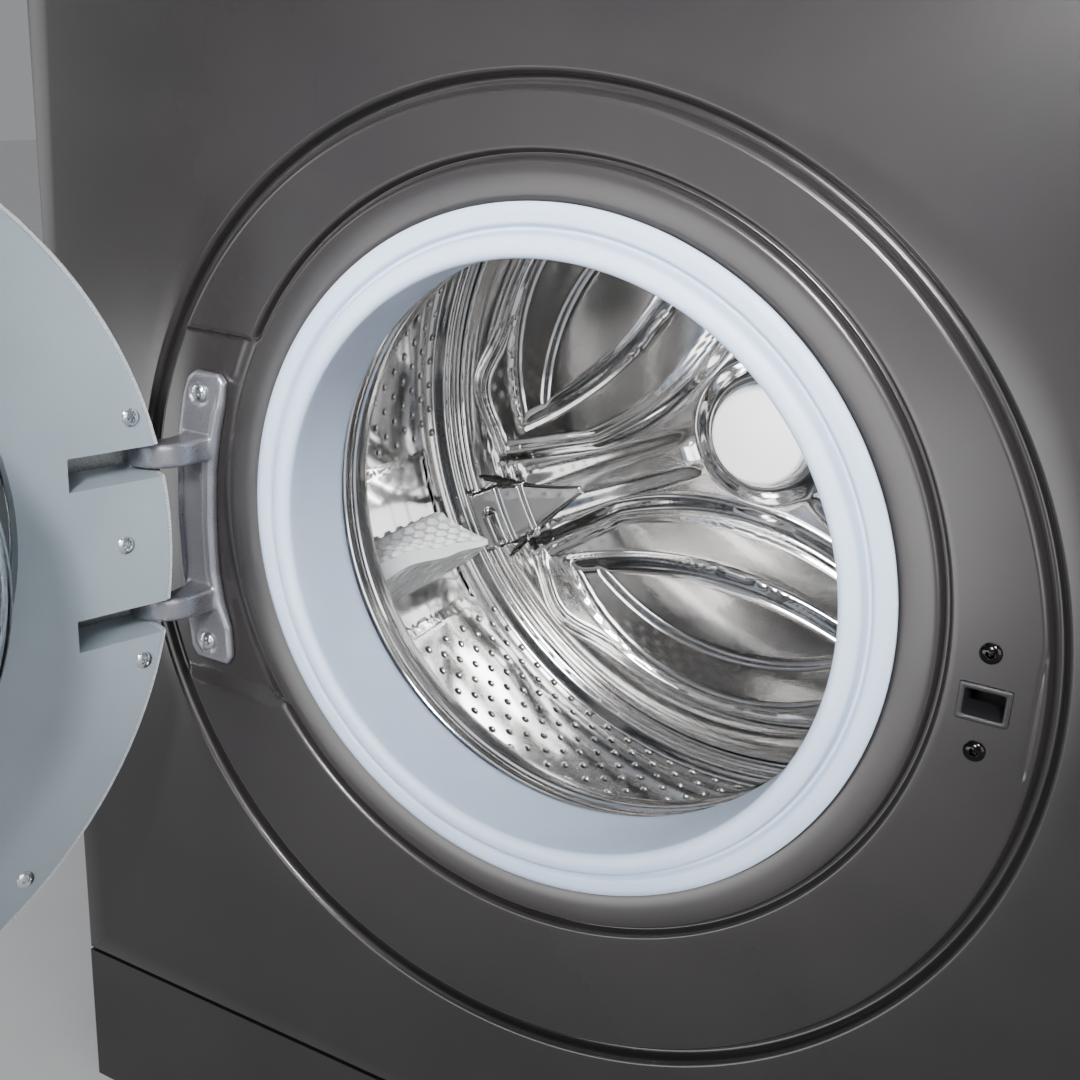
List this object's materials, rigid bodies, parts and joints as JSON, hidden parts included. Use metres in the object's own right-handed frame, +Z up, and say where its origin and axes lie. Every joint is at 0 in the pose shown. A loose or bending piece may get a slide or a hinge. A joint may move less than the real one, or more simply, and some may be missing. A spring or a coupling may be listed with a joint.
{
  "type": "front load washing machine",
  "caption": "Free-standing front load washing machine with its round door open, a sprung tub, a belt-driven steel drum, a detergent drawer and levelling feet.",
  "frame": {"origin": "middle of the base pan's underside, 18 mm above the floor that the feet stand on", "axes": "+Z up, the front faces -Y, +X to the right as seen from the front"},
  "size_m": [0.6694, 0.9811, 0.848],
  "materials": {
    "front_paint": "satin dark graphite paint",
    "side_paint": "satin dark graphite paint",
    "zinc_sheet": "galvanised sheet",
    "worktop_board": "matt laminate",
    "fascia_plastic": "satin moulded plastic",
    "display_plastic": "dark gloss",
    "control_chrome": "satin chrome",
    "circuit_board": "solder mask",
    "white_plastic": "moulded white plastic",
    "gasket_rubber": "light blue-grey rubber",
    "black_plastic": "moulded black plastic",
    "hinge_casting": "painted die casting",
    "bright_screws": "bright plated",
    "door_plastic": "satin blue-grey plastic",
    "door_rim": "pale silver rim",
    "door_tint": "dark tinted window",
    "bowl_glass": "clear pressed glass",
    "hook_steel": "plated",
    "tub_plastic": "filled polypropylene",
    "concrete": "cast concrete",
    "drum_steel": "polished stainless steel",
    "hub_steel": "bright satin",
    "lifter_plastic": "pale grey plastic",
    "spider_casting": "as cast",
    "machined_steel": "ground steel",
    "motor_body": "painted",
    "belt_rubber": "ribbed belt",
    "damper_plastic": "moulded",
    "service_plastic": "moulded"
  },
  "bodies": {
    "cabinet": {"base_pan": "zinc_sheet", "side_panel_left": "side_paint", "side_panel_right": "side_paint", "back_panel": "zinc_sheet", "top_braces": "zinc_sheet", "worktop": "worktop_board", "front_panel": "front_paint", "gasket": "gasket_rubber", "lock_bezel": "black_plastic", "lock_body": "black_plastic", "hinge_bracket": "hinge_casting", "panel_screws": "bright_screws", "plinth": "front_paint", "control_panel": "fascia_plastic", "display_window": "display_plastic", "control_board": "circuit_board", "drawer_housing": "white_plastic", "damper_cylinders": "damper_plastic", "suspension_springs": "machined_steel", "pump_housing": "black_plastic", "sump_hose": "gasket_rubber", "inlet_valve": "service_plastic", "drain_outlet": "service_plastic", "cord_gland": "black_plastic"},
    "door": {"door_inner_frame": "door_plastic", "door_outer_frame": "door_rim", "door_window": "door_tint", "door_glass": "bowl_glass", "door_screws": "bright_screws", "hinge_pin": "bright_screws"},
    "door_hook": {"door_hook": "hook_steel"},
    "tub": {"tub_front": "tub_plastic", "tub_rear": "tub_plastic", "tub_weights": "concrete", "heater": "machined_steel", "drum_bearings": "machined_steel", "motor": "motor_body", "damper_rods": "machined_steel", "drive_belt": "belt_rubber"},
    "drum": {"drum_shell": "drum_steel", "drum_back": "drum_steel", "hub_cap": "hub_steel", "lifters": "lifter_plastic", "drum_spider": "spider_casting", "drum_shaft": "machined_steel", "drum_pulley": "spider_casting"},
    "motor_rotor": {"motor_pulley": "machined_steel"},
    "drawer": {"detergent_drawer": "white_plastic", "drawer_front": "fascia_plastic"},
    "knob": {"programme_knob": "control_chrome"},
    "start_button": {"start_button": "control_chrome"},
    "option_button_1": {"option_button_1": "control_chrome"},
    "option_button_2": {"option_button_2": "control_chrome"},
    "service_flap": {"service_flap": "fascia_plastic"},
    "filter_cap": {"filter_cap": "black_plastic"},
    "pump_impeller": {"pump_impeller": "black_plastic"},
    "foot_front_left": {"foot_front_left": "black_plastic"},
    "foot_front_right": {"foot_front_right": "black_plastic"},
    "foot_back_left": {"foot_back_left": "black_plastic"},
    "foot_back_right": {"foot_back_right": "black_plastic"}
  },
  "joints": [
    {"name": "door_swing", "type": "hinge", "parent": "cabinet", "child": "door", "pos_m": [-0.2193, -0.276, 0.4], "axis": [0, 0, 1], "range_deg": [-32, 108.1]},
    {"name": "hook_tilt", "type": "hinge", "parent": "door", "child": "door_hook", "pos_m": [-0.33533, -0.67605, 0.41], "axis": [0, 0, 1], "range_deg": [0, 8], "stiffness_Nm_per_rad": 0.2},
    {"name": "tub_bounce", "type": "slide", "parent": "cabinet", "child": "tub", "axis": [0, 0, 1], "range_m": [-0.008, 0.008], "stiffness_N_per_m": 20000, "springref_m": 0.0133, "deforming": ["gasket", "suspension_springs", "sump_hose"]},
    {"name": "drum_spin", "type": "hinge", "parent": "tub", "child": "drum", "pos_m": [0, -0.05, 0.42], "axis": [0, 1, 0], "continuous": true},
    {"name": "motor_spin", "type": "hinge", "parent": "tub", "child": "motor_rotor", "pos_m": [0, 0.138, 0.098], "axis": [0, 1, 0], "continuous": true},
    {"name": "drawer_slide", "type": "slide", "parent": "cabinet", "child": "drawer", "axis": [0, -1, 0], "range_m": [0, 0.19]},
    {"name": "knob_turn", "type": "hinge", "parent": "cabinet", "child": "knob", "pos_m": [-0.03, -0.26, 0.75], "axis": [0, -1, 0], "continuous": true},
    {"name": "start_press", "type": "slide", "parent": "cabinet", "child": "start_button", "axis": [0, 1, 0], "range_m": [0, 0.002], "stiffness_N_per_m": 600},
    {"name": "option_1_press", "type": "slide", "parent": "cabinet", "child": "option_button_1", "axis": [0, 1, 0], "range_m": [0, 0.002], "stiffness_N_per_m": 600},
    {"name": "option_2_press", "type": "slide", "parent": "cabinet", "child": "option_button_2", "axis": [0, 1, 0], "range_m": [0, 0.002], "stiffness_N_per_m": 600},
    {"name": "flap_swing", "type": "hinge", "parent": "cabinet", "child": "service_flap", "pos_m": [0.1524, -0.2512, 0.051], "axis": [0, 0, -1], "range_deg": [0, 100]},
    {"name": "filter_turn", "type": "hinge", "parent": "cabinet", "child": "filter_cap", "pos_m": [0.208, -0.235, 0.052], "axis": [0, -1, 0], "range_deg": [0, 90]},
    {"name": "impeller_spin", "type": "hinge", "parent": "cabinet", "child": "pump_impeller", "pos_m": [0.208, -0.158, 0.052], "axis": [0, 1, 0], "continuous": true},
    {"name": "foot_front_left_screw", "type": "slide", "parent": "cabinet", "child": "foot_front_left", "axis": [0, 0, -1], "range_m": [0, 0.02]},
    {"name": "foot_front_right_screw", "type": "slide", "parent": "cabinet", "child": "foot_front_right", "axis": [0, 0, -1], "range_m": [0, 0.02]},
    {"name": "foot_back_left_screw", "type": "slide", "parent": "cabinet", "child": "foot_back_left", "axis": [0, 0, -1], "range_m": [0, 0.02]},
    {"name": "foot_back_right_screw", "type": "slide", "parent": "cabinet", "child": "foot_back_right", "axis": [0, 0, -1], "range_m": [0, 0.02]}
  ],
  "couplings": [
    {"joint": "motor_spin", "follows": "drum_spin", "ratio": 11.667}
  ]
}
